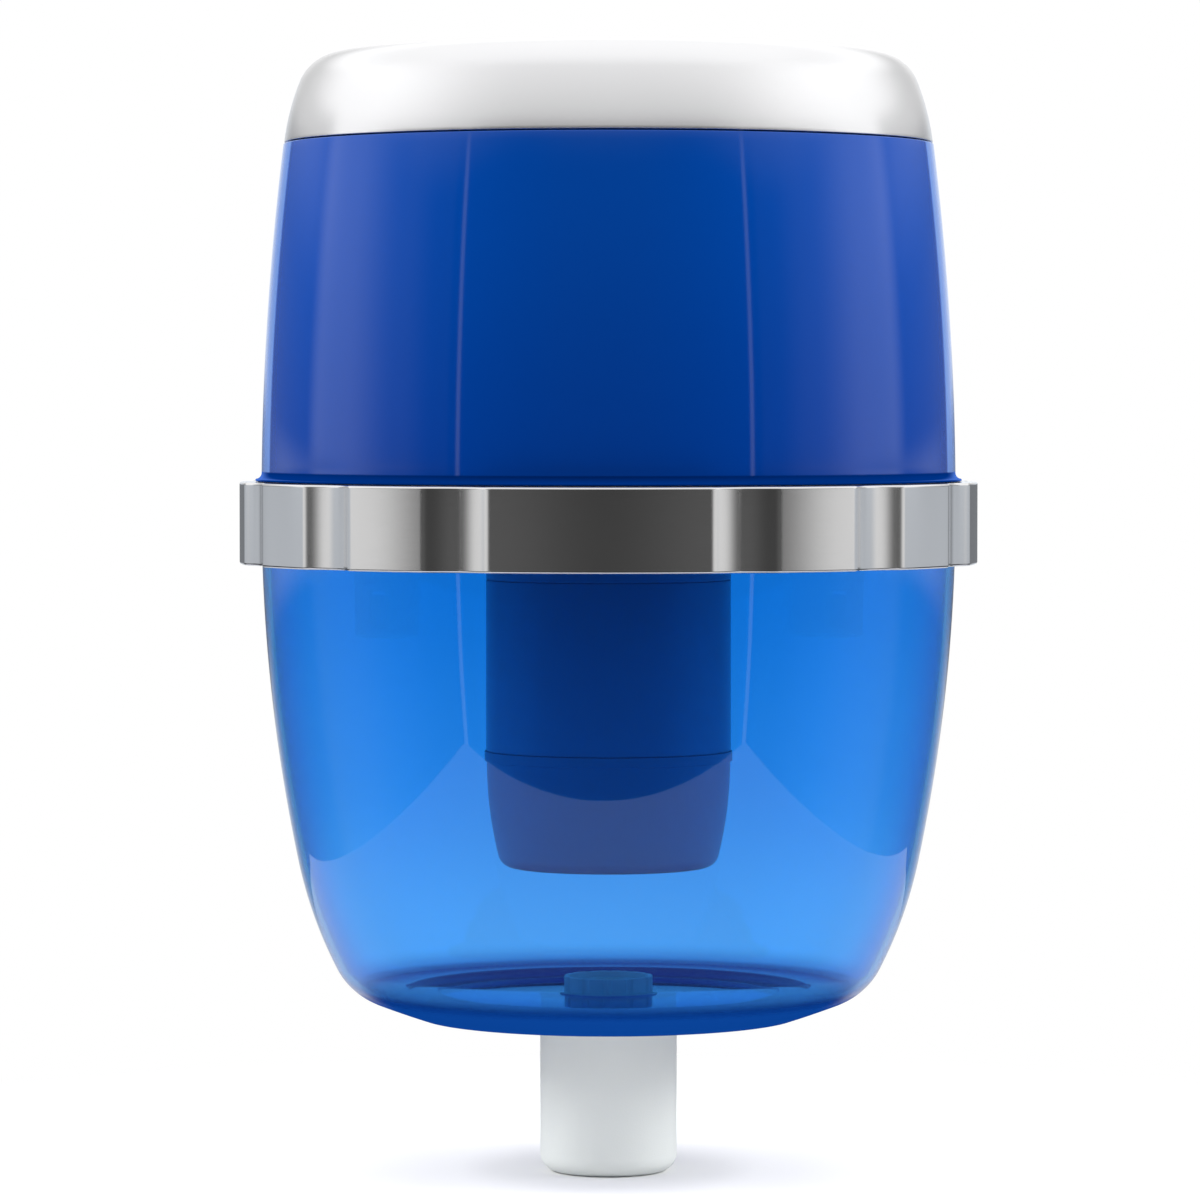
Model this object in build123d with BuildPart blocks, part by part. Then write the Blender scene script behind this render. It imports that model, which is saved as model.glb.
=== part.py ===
from build123d import *
import os
from math import asin, cos, radians, sin, sqrt

# A two-tank gravity water filter bottle for the top of a water cooler. The origin is on the spout's
# axis, just above the lower tank's foot ring, +Z is up, the band's plain plate faces -Y. Millimetres.

# Outline of the two tanks: how far each change of curve lies inside and above the one before it
belly_r = 138.6  # widest circle, behind the band
waist_inset = 14.5
hip_inset = 15.2
knee_inset = 14.5
foot_inset = 18.5
foot_drop = 2.8  # from the origin down to the foot ring
knee_z = 3.9
hip_rise = 13.1
waist_rise = 43.0
belly_rise = 140.0
seam_inset = 9.05  # the lid meets the upper tank at the seam
seam_rise = 145.8
tank_wall = 3.0

# Foot and floor of the lower tank: a ring to stand on, and two steps down to the outlet
foot_width = 7.9
foot_height = 1.5
floor_t = 3.0
well_inset = 7.3
well_step = 1.1
ledge_proud = 5.6
ledge_step = 2.8

# Joint between the tanks
rim_under = 1.0
rim_flange_width = 3.0
rim_flange_t = 6.0
tank_seal_t = 1.8
nest_clearance = 0.6
spigot_depth = 24.0
drip_lip_inset = 0.6
drip_lip_t = 0.8
shoulder_rise = 6.0

# Trim band
band_gap = 0.3
band_height = 32.7
band_t = 1.5
band_lip_gap = 0.4
band_edge_r = 1.0
plate_angle = 33.6
flute_count = 14
flute_angle = 10.2
flute_depth = 3.3
flute_edge_r = 1.5

# Neck and lid
neck_inset = 3.8
neck_height = 6.0
neck_slope_drop = 8.0
lid_gap = 0.6
lid_inset = 0.3
lid_wall = 2.0
lid_rise = 34.7
lid_top_inset = 11.5
lid_dome = 4.0
lid_edge_r = 18.0
lid_seal_t = 1.0
liner_flange_t = 2.0
liner_flange_width = 20.0
liner_skirt_t = 3.0
liner_skirt_depth = 9.0
liner_clearance = 0.5
lid_rib_inset = 1.4
lid_rib_t = 2.0

# Filter: ceramic dome above the upper tank's floor, cartridge below it
upper_floor_t = 3.0
stem_r = 15.0
stem_wall = 5.0
stem_length = 18.0
thread_clearance = 0.3
filter_seal_t = 1.5
filter_seal_width = 16.7
dome_r = 50.0
dome_wall = 8.0
dome_straight = 38.0
base_t = 6.0
base_cup_h = 5.5
base_cup_t = 2.5
dome_clearance = 0.3

cartridge_r = 49.0
cartridge_wall = 2.7
cap_plate_t = 4.0
cap_height = 14.0
cap_hub_wall = 4.7
joint_overlap = 6.0
joint_wall = 2.3
joint_clearance = 0.3
body_length = 68.4
collar_proud = 0.6
collar_height = 4.0
cup_inset = 0.25
cup_taper = 5.85
cup_length = 42.6
cup_wall = 2.5
cup_edge_r = 6.0
outlet_hole_r = 2.0
outlet_ring_radii = (13.0, 25.0)
outlet_ring_counts = (8, 16)
screen_t = 2.0
screen_hole_r = 1.2
screen_spacing = 5.0
pad_t = 3.0
mineral_h = 23.5
silica_h = 18.0
zeolite_h = 22.0
carbon_h = 27.0
bed_clearance = 0.4

# Vent: a pipe through the upper tank's floor, and a float that shuts its lower end
vent_inset = 40.0
vent_r = 7.0
vent_wall = 2.0
vent_rise = 131.0
vent_flange_width = 5.0
vent_flange_t = 2.5
vent_cap_reach = 4.0
vent_cap_wall = 2.0
vent_cap_gap = 3.0
vent_cap_skirt = 8.0
vent_web_t = 2.0
cage_wall = 3.2
cage_clearance = 1.8
cage_socket = 11.0
cage_length = 24.0
cage_base_t = 2.0
cage_drain_r = 3.0
window_width = 6.0
window_height = 14.0
float_r = 6.5
float_gap = 0.2
vent_clearance = 0.1

# Spout below the foot, with its nut, washer, seal and grommet
spout_r = 27.4
spout_length = 65.0
spout_wall = 3.2
spout_edge_r = 7.0
spout_top_t = 4.5
spout_end_t = 3.5
spout_seal_t = 1.0
spout_seal_inset = 1.4
spout_stem_r = 13.0
spout_stem_wall = 3.5
spout_stem_below_nut = 2.0
washer_width = 6.2
washer_t = 1.5
nut_width = 4.45
nut_height = 7.5
nut_rim_t = 2.0
nut_recess = 2.5
nut_grooves = 12
nut_groove_width = 3.0
nut_groove_depth = 0.8
probe_r = 9.0
grommet_wall = 2.9
grommet_flange_width = 4.0
grommet_flange_t = 2.5
grommet_rise = 2.0
grommet_recess = 0.5
grommet_clearance = 0.1

# Heights and radii that follow from the sizes above
waist_r = belly_r - waist_inset
hip_r = waist_r - hip_inset
knee_r = hip_r - knee_inset
foot_r = knee_r - foot_inset
seam_r = belly_r - seam_inset
hip_z = knee_z + hip_rise
waist_z = hip_z + waist_rise
belly_z = waist_z + belly_rise
seam_z = belly_z + seam_rise
rim_flange_r = belly_r + rim_flange_width
rim_z = belly_z + rim_under + rim_flange_width + rim_flange_t
well_r = foot_r - well_inset
ledge_r = foot_r + ledge_proud
floor_z = foot_height + floor_t
well_z = floor_z + well_step
ledge_z = well_z + ledge_step
seat_z = rim_z + tank_seal_t
spigot_r = belly_r - tank_wall - nest_clearance
spigot_in_r = spigot_r - tank_wall
drip_lip_r = rim_flange_r - drip_lip_inset
upper_under_z = seat_z - spigot_depth
upper_floor_z = upper_under_z + upper_floor_t
neck_r = seam_r - neck_inset
neck_in_r = neck_r - tank_wall
neck_z = seam_z + neck_height
band_top_z = rim_z + band_t
band_low_z = band_top_z - band_height


# Curves made of tangent arcs, as stations: each a point and the direction of travel there
def stations(start, direction, knots):
    """Follow tangent arcs from a start point, through the knots in turn."""
    points = [(Vector(*start), Vector(*direction).normalized())]
    for knot in knots:
        point, along = points[-1]
        chord = Vector(*knot) - point
        turned_along = chord * (2 * chord.dot(along) / chord.dot(chord)) - along
        points.append((Vector(*knot), turned_along))
    return points


def moved_left(curve, distance):
    """The same curve, moved to the left of its direction of travel."""
    return [(point + Vector(-along.Y, along.X) * distance, along) for point, along in curve]


def draw_arcs(curve):
    """Draw a curve's arcs in the line being built."""
    for (point, along), (next_point, _) in zip(curve, curve[1:]):
        TangentArc(point, next_point, tangent=along)


def ends(curve):
    """First and last point of a curve, as plain pairs."""
    return [(point.X, point.Y) for point, _ in (curve[0], curve[-1])]


def turned(points, y=0.0):
    """A round piece, turned from its half section of (radius, height) points."""
    with BuildPart() as piece:
        with BuildSketch(Plane((0, y, 0), x_dir=(1, 0, 0), z_dir=(0, -1, 0))):
            with BuildLine():
                Polyline(*points, close=True)
            make_face()
        revolve(axis=Axis((0, y, 0), (0, 0, 1)))
    return piece


def flat_ring(inner_r, outer_r, low_z, high_z, y=0.0):
    """A flat ring or washer."""
    return turned([(inner_r, low_z), (outer_r, low_z), (outer_r, high_z), (inner_r, high_z)], y)


def disc(radius, low_z, height):
    """A plain round bed of filter medium."""
    with BuildPart() as piece:
        with BuildSketch(Plane.XY.offset(low_z)):
            Circle(radius)
        extrude(amount=height)
    return piece


os.makedirs("parts", exist_ok=True)

# Lower tank: side arcs from the belly down to the foot, a flanged rim and a stepped floor
side_knots = [(waist_r, waist_z), (hip_r, hip_z), (knee_r, knee_z), (foot_r, -foot_drop)]
lower_side = stations((belly_r, belly_z), (0, -1), side_knots)
lower_inside = moved_left(lower_side, -tank_wall)
inside_start, inside_end = ends(lower_inside)
flange_low_z = rim_z - rim_flange_t
floor_steps = ((0.0, floor_z), (well_r, well_z), (ledge_r, ledge_z))
spout_hole_r = spout_stem_r + thread_clearance

with BuildPart() as lower_tank:
    with BuildSketch(Plane.XZ):
        with BuildLine():
            draw_arcs(lower_side)
            Polyline(
                (foot_r, -foot_drop),
                (0, -foot_drop),
                (0, rim_z),
                (rim_flange_r, rim_z),
                (rim_flange_r, flange_low_z),
                (belly_r, flange_low_z - (rim_flange_r - belly_r)),
                (belly_r, belly_z),
            )
        make_face()
    revolve(axis=Axis.Z)
    with BuildSketch(Plane.XZ):
        with BuildLine():
            draw_arcs(lower_inside)
            Polyline(inside_end, (0, inside_end[1]), (0, rim_z), (inside_start[0], rim_z), inside_start)
        make_face()
        for step_r, step_z in floor_steps:
            with Locations((step_r, -foot_drop)):
                Rectangle(belly_r, step_z + foot_drop, align=(Align.MIN, Align.MIN), mode=Mode.SUBTRACT)
    revolve(axis=Axis.Z, mode=Mode.SUBTRACT)
    with BuildSketch(Plane.XY.offset(-foot_drop)):
        Circle(foot_r - foot_width)
    extrude(amount=foot_drop + foot_height, mode=Mode.SUBTRACT)
    with BuildSketch():
        Circle(spout_hole_r)
    extrude(amount=ledge_z, mode=Mode.SUBTRACT)
lower_tank.part.label = "lower_tank"
export_step(lower_tank.part, "parts/lower_tank.step")

# Upper tank: a spigot that nests in the lower rim, a drip lip, one long side arc and the lid's neck
side_radius = ((seam_z - belly_z) ** 2 + (belly_r - seam_r) ** 2) / (2 * (belly_r - seam_r))


def on_upper_side(z):
    """Point of the upper tank's outside at a height, and the direction up along it."""
    rise = z - belly_z
    radius = belly_r - side_radius + sqrt(side_radius**2 - rise**2)
    lean = asin(rise / side_radius)
    return Vector(radius, z), Vector(-sin(lean), cos(lean))


lip_top_z = seat_z + drip_lip_t
side_start = on_upper_side(lip_top_z + drip_lip_r - belly_r)
side_end = on_upper_side(seam_z)
upper_side = [side_start, side_end]
upper_inside = moved_left(
    [on_upper_side(seat_z + shoulder_rise), on_upper_side(seam_z - neck_slope_drop)], tank_wall
)
inside_low, inside_high = ends(upper_inside)
vent_y = spigot_in_r - vent_inset
stem_hole_r = stem_r + thread_clearance
vent_hole_r = vent_r + thread_clearance

with BuildPart() as upper_tank:
    with BuildSketch(Plane.XZ):
        with BuildLine():
            Polyline(
                (neck_r, seam_z),
                (neck_r, neck_z),
                (0, neck_z),
                (0, upper_under_z),
                (spigot_r, upper_under_z),
                (spigot_r, seat_z),
                (drip_lip_r, seat_z),
                (drip_lip_r, lip_top_z),
            )
            TangentArc((drip_lip_r, lip_top_z), side_start[0], tangent=(-1, 0))
            draw_arcs(upper_side)
            Line(side_end[0], (neck_r, seam_z))
        make_face()
    revolve(axis=Axis.Z)
    with BuildSketch(Plane.XZ):
        with BuildLine():
            Polyline(
                inside_high,
                (neck_in_r, inside_high[1] + inside_high[0] - neck_in_r),
                (neck_in_r, neck_z),
                (0, neck_z),
                (0, upper_floor_z),
                (spigot_in_r, upper_floor_z),
                (spigot_in_r, seat_z),
                inside_low,
            )
            draw_arcs(upper_inside)
        make_face()
    revolve(axis=Axis.Z, mode=Mode.SUBTRACT)
    with BuildSketch(Plane.XY.offset(upper_under_z)):
        Circle(stem_hole_r)
        with Locations((0, vent_y)):
            Circle(vent_hole_r)
    extrude(amount=upper_floor_t, mode=Mode.SUBTRACT)
upper_tank.part.label = "upper_tank"
export_step(upper_tank.part, "parts/upper_tank.step")

# Soft seal between the lower tank's rim and the upper tank's seat
tank_seal = flat_ring(belly_r - tank_wall, belly_r, rim_z, seat_z)
tank_seal.part.label = "tank_seal"
export_step(tank_seal.part, "parts/tank_seal.step")

# Trim band: a strip bent round the joint, with flutes between its lands and a lip on the rim
half_flute = radians(flute_angle / 2)
band_r = (rim_flange_r + band_gap + band_t + flute_depth) / cos(half_flute)
band_lip_r = belly_r + band_lip_gap
half_chord = band_r * sin(half_flute)
flute_floor_r = band_r * cos(half_flute) - flute_depth
flute_r = (half_chord**2 + flute_depth**2) / (2 * flute_depth)
first_flute = -90 + plate_angle / 2 + flute_angle / 2


def fluted_disc(radius, groove_r):
    """A disc with the band's flutes cut into its edge."""
    with BuildSketch() as outline:
        Circle(radius)
        with PolarLocations(
            flute_floor_r + flute_r, flute_count, first_flute, 360 - plate_angle - flute_angle, endpoint=True
        ):
            Circle(groove_r, mode=Mode.SUBTRACT)
    return outline


band_inside = fluted_disc(band_r - band_t, flute_r + band_t)
with BuildSketch() as band_outside:
    add(fluted_disc(band_r, flute_r).sketch)
    fillet(band_outside.vertices(), flute_edge_r)

with BuildPart() as trim_band:
    with BuildSketch(Plane.XY.offset(band_low_z)):
        add(band_outside.sketch)
        add(band_inside.sketch, mode=Mode.SUBTRACT)
    extrude(amount=band_height)
    with BuildSketch(Plane.XY.offset(rim_z)):
        add(band_outside.sketch)
        Circle(band_lip_r, mode=Mode.SUBTRACT)
    extrude(amount=band_t)
    top_face = trim_band.faces().filter_by(Axis.Z).sort_by(Axis.Z)[-1]
    low_face = trim_band.faces().filter_by(Axis.Z).sort_by(Axis.Z)[0]
    fillet(top_face.outer_wire().edges() + low_face.outer_wire().edges(), band_edge_r)
trim_band.part.label = "trim_band"
export_step(trim_band.part, "parts/trim_band.step")

# Lid cover: a thin silver cap that carries on the tank's curve, with a rib that stands on the liner
lid_low_z = seam_z + lid_gap
lid_low_r = seam_r - lid_inset
lid_top_r = seam_r - lid_top_inset
flange_r = neck_r - 2 * liner_clearance
lid_rib_r = flange_r - liner_flange_width + lid_rib_inset + lid_rib_t
lid_top_z = lid_low_z + lid_rise
lid_apex_z = lid_top_z + lid_dome
seal_top_z = neck_z + lid_seal_t
liner_top_z = seal_top_z + liner_flange_t
dome_radius = (lid_top_r**2 + lid_dome**2) / (2 * lid_dome)
rib_top_z = lid_apex_z - dome_radius + sqrt(dome_radius**2 - lid_rib_r**2) - lid_wall / 2

with BuildPart() as lid_cover:
    with BuildSketch(Plane.XZ) as lid_section:
        with BuildLine():
            TangentArc((lid_low_r, lid_low_z), (lid_top_r, lid_top_z), tangent=side_end[1])
            TangentArc((0, lid_apex_z), (lid_top_r, lid_top_z), tangent=(1, 0))
            Polyline((0, lid_apex_z), (0, lid_low_z), (lid_low_r, lid_low_z))
        make_face()
        fillet(lid_section.vertices().sort_by_distance((lid_top_r, lid_top_z))[0], lid_edge_r)
    revolve(axis=Axis.Z)
    offset(amount=-lid_wall, openings=lid_cover.faces().sort_by(Axis.Z)[0])
    with BuildSketch(Plane.XY.offset(liner_top_z)):
        Circle(lid_rib_r)
        Circle(lid_rib_r - lid_rib_t, mode=Mode.SUBTRACT)
    extrude(amount=rib_top_z - liner_top_z)
lid_cover.part.label = "lid_cover"
export_step(lid_cover.part, "parts/lid_cover.step")

# Lid liner: a flange on the neck, and a plug skirt that keeps the lid in place
skirt_r = neck_in_r - liner_clearance
lid_liner = turned(
    [
        (skirt_r - liner_skirt_t, neck_z - liner_skirt_depth),
        (skirt_r, neck_z - liner_skirt_depth),
        (skirt_r, seal_top_z),
        (flange_r, seal_top_z),
        (flange_r, liner_top_z),
        (flange_r - liner_flange_width, liner_top_z),
        (flange_r - liner_flange_width, seal_top_z),
        (skirt_r - liner_skirt_t, seal_top_z),
    ]
)
lid_liner.part.label = "lid_liner"
export_step(lid_liner.part, "parts/lid_liner.step")

lid_seal = flat_ring(neck_in_r, flange_r, neck_z, seal_top_z)
lid_seal.part.label = "lid_seal"
export_step(lid_seal.part, "parts/lid_seal.step")

# Ceramic dome, glued into the cup of its base, whose stem goes down through the floor
stem_bore_r = stem_r - stem_wall
filter_seal_r = stem_hole_r + filter_seal_width
base_z = upper_floor_z + filter_seal_t
dome_z = base_z + base_t
dome_spring_z = dome_z + dome_straight
dome_in_r = dome_r - dome_wall
base_r = dome_r + dome_clearance + base_cup_t
stem_low_z = base_z - stem_length

with BuildPart() as ceramic_dome:
    with BuildSketch(Plane.XZ):
        with BuildLine():
            Line((dome_in_r, dome_z), (dome_r, dome_z))
            Line((dome_r, dome_z), (dome_r, dome_spring_z))
            TangentArc((dome_r, dome_spring_z), (0, dome_spring_z + dome_r), tangent=(0, 1))
            Line((0, dome_spring_z + dome_r), (0, dome_spring_z + dome_in_r))
            TangentArc((dome_in_r, dome_spring_z), (0, dome_spring_z + dome_in_r), tangent=(0, 1))
            Line((dome_in_r, dome_spring_z), (dome_in_r, dome_z))
        make_face()
    revolve(axis=Axis.Z)
ceramic_dome.part.label = "ceramic_dome"
export_step(ceramic_dome.part, "parts/ceramic_dome.step")

dome_base = turned(
    [
        (stem_bore_r, stem_low_z),
        (stem_r, stem_low_z),
        (stem_r, base_z),
        (base_r, base_z),
        (base_r, dome_z + base_cup_h),
        (base_r - base_cup_t, dome_z + base_cup_h),
        (base_r - base_cup_t, dome_z),
        (stem_bore_r, dome_z),
    ]
)
dome_base.part.label = "dome_base"
export_step(dome_base.part, "parts/dome_base.step")

dome_seal = flat_ring(stem_hole_r, filter_seal_r, upper_floor_z, base_z)
dome_seal.part.label = "dome_seal"
export_step(dome_seal.part, "parts/dome_seal.step")

# Cartridge cap: screws on the stem from below, and clamps the floor with its seal
cap_top_z = upper_under_z - filter_seal_t
cap_low_z = cap_top_z - cap_height
cap_plate_z = cap_top_z - cap_plate_t
cap_hub_r = stem_hole_r + cap_hub_wall
bore_r = cartridge_r - cartridge_wall
joint_r = bore_r - joint_clearance
joint_in_r = joint_r - joint_wall

cap_seal = flat_ring(stem_hole_r, filter_seal_r, cap_top_z, upper_under_z)
cap_seal.part.label = "cap_seal"
export_step(cap_seal.part, "parts/cap_seal.step")

cartridge_cap = turned(
    [
        (stem_hole_r, stem_low_z),
        (cap_hub_r, stem_low_z),
        (cap_hub_r, cap_plate_z),
        (joint_in_r, cap_plate_z),
        (joint_in_r, cap_low_z - joint_overlap),
        (joint_r, cap_low_z - joint_overlap),
        (joint_r, cap_low_z),
        (cartridge_r, cap_low_z),
        (cartridge_r, cap_top_z),
        (stem_hole_r, cap_top_z),
    ]
)
cartridge_cap.part.label = "cartridge_cap"
export_step(cartridge_cap.part, "parts/cartridge_cap.step")

# Cartridge body: the straight tube between the cap and the cup
collar_top_z = cap_low_z - body_length
cartridge_body = flat_ring(bore_r, cartridge_r, collar_top_z, cap_low_z)
cartridge_body.part.label = "cartridge_body"
export_step(cartridge_body.part, "parts/cartridge_body.step")

# Cartridge cup: a collar, a tapered wall and a drilled bottom
cup_top_r = cartridge_r - cup_inset
cup_end_r = cup_top_r - cup_taper
cup_top_z = collar_top_z - collar_height
cup_low_z = cup_top_z - cup_length
cup_side = stations((cup_top_r, cup_top_z), (0, -1), [(cup_end_r, cup_low_z)])
cup_inside = moved_left(cup_side, -cup_wall)
cup_floor_z = cup_low_z + cup_wall
collar_r = cartridge_r + collar_proud
cup_start, cup_end = ends(cup_inside)

with BuildPart() as cartridge_cup:
    with BuildSketch(Plane.XZ) as cup_section:
        with BuildLine():
            draw_arcs(cup_side)
            Polyline(
                (cup_end_r, cup_low_z),
                (0, cup_low_z),
                (0, collar_top_z + joint_overlap),
                (joint_r, collar_top_z + joint_overlap),
                (joint_r, collar_top_z),
                (collar_r, collar_top_z),
                (collar_r, cup_top_z),
                (cup_top_r, cup_top_z),
            )
        make_face()
        fillet(cup_section.vertices().sort_by_distance((cup_end_r, cup_low_z))[0], cup_edge_r)
    revolve(axis=Axis.Z)
    with BuildSketch(Plane.XZ):
        with BuildLine():
            draw_arcs(cup_inside)
            Polyline(
                cup_end,
                (0, cup_end[1]),
                (0, collar_top_z + joint_overlap),
                (joint_in_r, collar_top_z + joint_overlap),
                (joint_in_r, cup_top_z),
                cup_start,
            )
        make_face()
        Rectangle(
            cup_end_r,
            cup_floor_z,
            align=(Align.MIN, Align.MIN),
            mode=Mode.SUBTRACT,
        )
    revolve(axis=Axis.Z, mode=Mode.SUBTRACT)
    with BuildSketch(Plane.XY.offset(cup_low_z)):
        Circle(outlet_hole_r)
        for ring_r, ring_count in zip(outlet_ring_radii, outlet_ring_counts):
            with PolarLocations(ring_r, ring_count):
                Circle(outlet_hole_r)
    extrude(amount=cup_wall, mode=Mode.SUBTRACT)
cartridge_cup.part.label = "cartridge_cup"
export_step(cartridge_cup.part, "parts/cartridge_cup.step")

# Filter beds, stacked from the cup's floor up with a felt pad below, between and above them
low_bed_r = cup_end[0] - bed_clearance
bed_r = joint_in_r - bed_clearance
screen_top_z = cup_floor_z + screen_t
mineral_z = screen_top_z + pad_t
silica_z = mineral_z + mineral_h + pad_t
zeolite_z = silica_z + silica_h + pad_t
carbon_z = zeolite_z + zeolite_h + pad_t
pad_places = (
    (low_bed_r, mineral_z - pad_t),
    (bed_r, silica_z - pad_t),
    (bed_r, zeolite_z - pad_t),
    (bed_r, carbon_z - pad_t),
    (bed_r, carbon_z + carbon_h),
)

with BuildPart() as outlet_screen:
    with BuildSketch(Plane.XY.offset(cup_floor_z)):
        Circle(low_bed_r)
        screen_rows = int(2 * (low_bed_r - 2 * screen_hole_r) / (sqrt(2) * screen_spacing))
        with GridLocations(screen_spacing, screen_spacing, screen_rows, screen_rows):
            Circle(screen_hole_r, mode=Mode.SUBTRACT)
    extrude(amount=screen_t)
outlet_screen.part.label = "outlet_screen"
export_step(outlet_screen.part, "parts/outlet_screen.step")

mineral_bed = disc(low_bed_r, mineral_z, mineral_h)
mineral_bed.part.label = "mineral_bed"
export_step(mineral_bed.part, "parts/mineral_bed.step")

silica_bed = disc(bed_r, silica_z, silica_h)
silica_bed.part.label = "silica_bed"
export_step(silica_bed.part, "parts/silica_bed.step")

zeolite_bed = disc(bed_r, zeolite_z, zeolite_h)
zeolite_bed.part.label = "zeolite_bed"
export_step(zeolite_bed.part, "parts/zeolite_bed.step")

carbon_bed = disc(bed_r, carbon_z, carbon_h)
carbon_bed.part.label = "carbon_bed"
export_step(carbon_bed.part, "parts/carbon_bed.step")

with BuildPart() as filter_pads:
    for pad_r, pad_z in pad_places:
        with BuildSketch(Plane.XY.offset(pad_z)):
            Circle(pad_r)
        extrude(amount=pad_t)
filter_pads.part.label = "filter_pads"
export_step(filter_pads.part, "parts/filter_pads.step")

# Vent pipe: clamped to the floor by its flange above and the float cage below
vent_bore_r = vent_r - vent_wall
vent_flange_r = vent_r + vent_flange_width
vent_flange_z = upper_floor_z + filter_seal_t
vent_top_z = upper_floor_z + vent_rise
vent_low_z = upper_under_z - cage_socket

vent_seal = flat_ring(vent_hole_r, vent_flange_r, upper_floor_z, vent_flange_z, vent_y)
vent_seal.part.label = "vent_seal"
export_step(vent_seal.part, "parts/vent_seal.step")

vent_pipe = turned(
    [
        (vent_bore_r, vent_low_z),
        (vent_r, vent_low_z),
        (vent_r, vent_flange_z),
        (vent_flange_r, vent_flange_z),
        (vent_flange_r, vent_flange_z + vent_flange_t),
        (vent_r, vent_flange_z + vent_flange_t),
        (vent_r, vent_top_z),
        (vent_bore_r, vent_top_z),
    ],
    vent_y,
)
vent_pipe.part.label = "vent_pipe"
export_step(vent_pipe.part, "parts/vent_pipe.step")

# Vent cap: a rain hat whose webs stand on the pipe's end and leave the air a way out
hat_z = vent_top_z + vent_cap_gap
vent_cap_r = vent_r + vent_cap_reach
hat_in_r = vent_cap_r - vent_cap_wall

with BuildPart() as vent_cap:
    with BuildSketch(Plane.XY.offset(vent_top_z - vent_cap_skirt)):
        with Locations((0, vent_y)):
            Circle(vent_cap_r)
            Circle(hat_in_r, mode=Mode.SUBTRACT)
    extrude(amount=vent_cap_skirt + vent_cap_gap)
    with BuildSketch(Plane.XY.offset(hat_z)):
        with Locations((0, vent_y)):
            Circle(vent_cap_r)
    extrude(amount=vent_cap_wall)
    with BuildSketch(Plane.XY.offset(vent_top_z)):
        with Locations((0, vent_y)):
            Rectangle(hat_in_r + vent_cap_r, vent_web_t)
            Rectangle(vent_web_t, hat_in_r + vent_cap_r)
    extrude(amount=vent_cap_gap)
vent_cap.part.label = "vent_cap"
export_step(vent_cap.part, "parts/vent_cap.step")

# Float cage: screws on the pipe below the floor, with windows for the water and a seat for the ball
cage_low_z = vent_low_z - cage_length
cage_floor_z = cage_low_z + cage_base_t
socket_r = vent_r + vent_clearance
cage_bore_r = float_r + cage_clearance
cage_r = cage_bore_r + cage_wall
float_cage = turned(
    [
        (cage_drain_r, cage_low_z),
        (cage_r, cage_low_z),
        (cage_r, upper_under_z),
        (socket_r, upper_under_z),
        (socket_r, vent_low_z),
        (cage_bore_r, vent_low_z),
        (cage_bore_r, cage_floor_z),
        (cage_drain_r, cage_floor_z),
    ],
    vent_y,
)
with BuildPart() as windowed_cage:
    add(float_cage.part)
    with BuildSketch(Plane.XY.offset(cage_floor_z)):
        with Locations((0, vent_y)):
            Rectangle(4 * cage_r, window_width)
            Rectangle(window_width, 4 * cage_r)
    extrude(amount=window_height, mode=Mode.SUBTRACT)
windowed_cage.part.label = "float_cage"
export_step(windowed_cage.part, "parts/float_cage.step")

float_z = cage_floor_z + sqrt(float_r**2 - cage_drain_r**2) + float_gap
with BuildPart() as float_ball:
    with Locations((0, vent_y, float_z)):
        Sphere(float_r)
float_ball.part.label = "float_ball"
export_step(float_ball.part, "parts/float_ball.step")
float_travel = vent_low_z - sqrt(float_r**2 - vent_bore_r**2) - float_gap - float_z

# Spout: a closed tube whose stem goes up through the floor, with a hole for the cooler's probe
spout_top_z = foot_height - spout_seal_t
spout_low_z = -spout_length
spout_floor_z = spout_low_z + spout_end_t
spout_in_r = spout_r - spout_wall
spout_stem_bore_r = spout_stem_r - spout_stem_wall
probe_hole_r = probe_r + grommet_wall + grommet_clearance
washer_z = floor_z + washer_t
nut_z = washer_z + nut_height
spout_stem_z = nut_z - spout_stem_below_nut

with BuildPart() as spout:
    with BuildSketch(Plane.XZ) as spout_section:
        with BuildLine():
            Polyline(
                (probe_hole_r, spout_low_z),
                (spout_r, spout_low_z),
                (spout_r, spout_top_z),
                (spout_stem_r, spout_top_z),
                (spout_stem_r, spout_stem_z),
                (spout_stem_bore_r, spout_stem_z),
                (spout_stem_bore_r, spout_top_z - spout_top_t),
                (spout_in_r, spout_top_z - spout_top_t),
                (spout_in_r, spout_floor_z),
                (probe_hole_r, spout_floor_z),
                close=True,
            )
        make_face()
        outer_corner = spout_section.vertices().sort_by_distance((spout_r, spout_low_z))[0]
        inner_corner = spout_section.vertices().sort_by_distance((spout_in_r, spout_floor_z))[0]
        fillet(outer_corner, spout_edge_r)
        fillet(inner_corner, spout_edge_r - spout_wall)
    revolve(axis=Axis.Z)
spout.part.label = "spout"
export_step(spout.part, "parts/spout.step")

spout_seal = flat_ring(spout_hole_r, spout_r - spout_seal_inset, spout_top_z, foot_height)
spout_seal.part.label = "spout_seal"
export_step(spout_seal.part, "parts/spout_seal.step")

nut_washer = flat_ring(spout_hole_r, spout_hole_r + washer_width, floor_z, washer_z)
nut_washer.part.label = "nut_washer"
export_step(nut_washer.part, "parts/nut_washer.step")

# Spout nut: a ring with finger grooves and a hollow top
nut_r = spout_hole_r + nut_width

with BuildPart() as spout_nut:
    with BuildSketch(Plane.XY.offset(washer_z)):
        Circle(nut_r)
        Circle(spout_hole_r, mode=Mode.SUBTRACT)
        with PolarLocations(nut_r, nut_grooves):
            Rectangle(2 * nut_groove_depth, nut_groove_width, mode=Mode.SUBTRACT)
    extrude(amount=nut_height)
    with BuildSketch(Plane.XY.offset(nut_z)):
        Circle(nut_r - nut_rim_t)
    extrude(amount=-nut_recess, mode=Mode.SUBTRACT)
spout_nut.part.label = "spout_nut"
export_step(spout_nut.part, "parts/spout_nut.step")

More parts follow.
